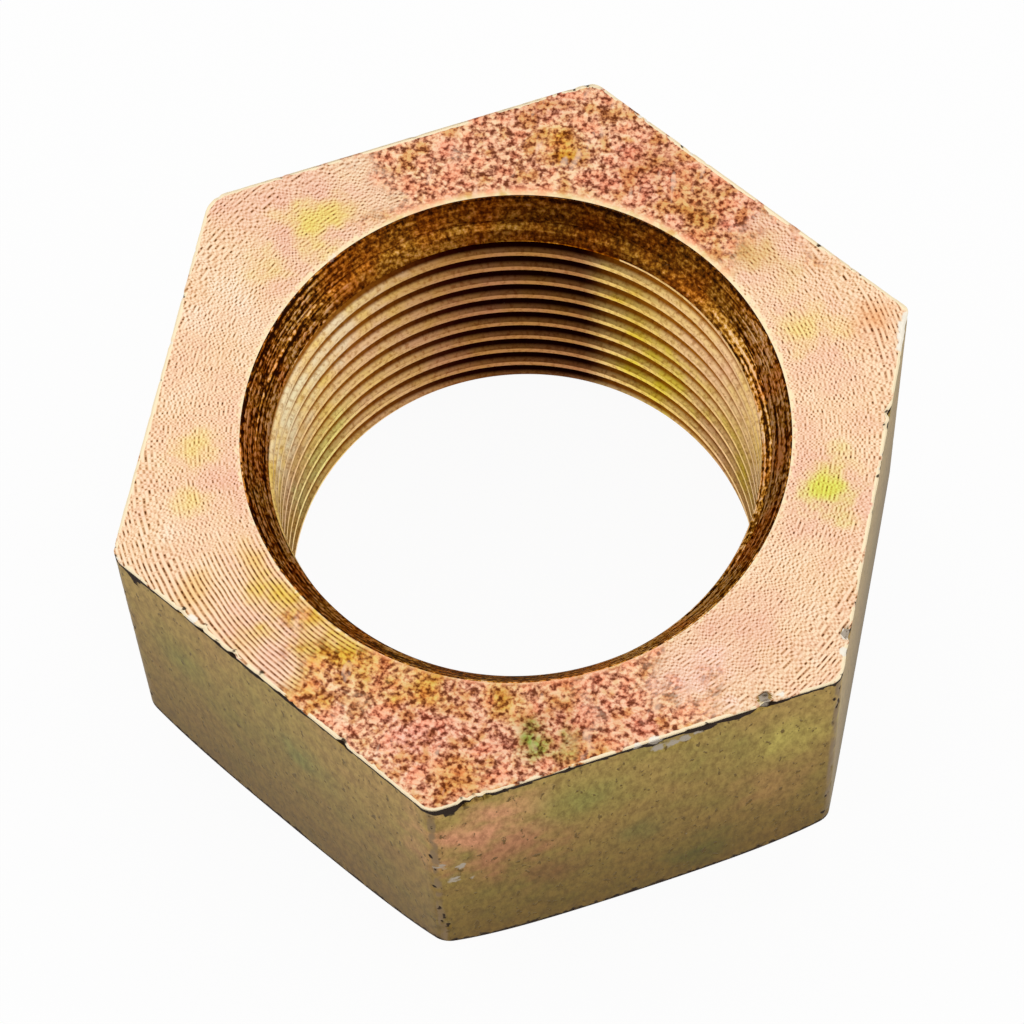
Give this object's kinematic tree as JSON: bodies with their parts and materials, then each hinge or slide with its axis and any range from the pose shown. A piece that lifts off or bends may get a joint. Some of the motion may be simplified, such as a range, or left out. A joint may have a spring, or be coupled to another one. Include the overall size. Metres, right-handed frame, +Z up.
{
  "type": "hexagon lock nut",
  "caption": "Tall hexagon lock nut with a flat sharp-edged top face, a domed lower edge and a countersunk fine thread.",
  "frame": {"origin": "centre of the thread's axis on the lower, domed end's seat face, which is the face that the nut rests on", "axes": "+Z up along the thread's axis towards the flat sharp-edged face; +X out of one hexagon flat, so across flats is along X; +Y through a hexagon corner"},
  "size_m": [0.05, 0.0574, 0.0255],
  "materials": {
    "yellow_chromate_zinc": "turned steel, zinc plated and yellow chromated, with nicks and worn edges"
  },
  "bodies": {
    "root": {"lock_nut": "yellow_chromate_zinc"}
  },
  "joints": []
}
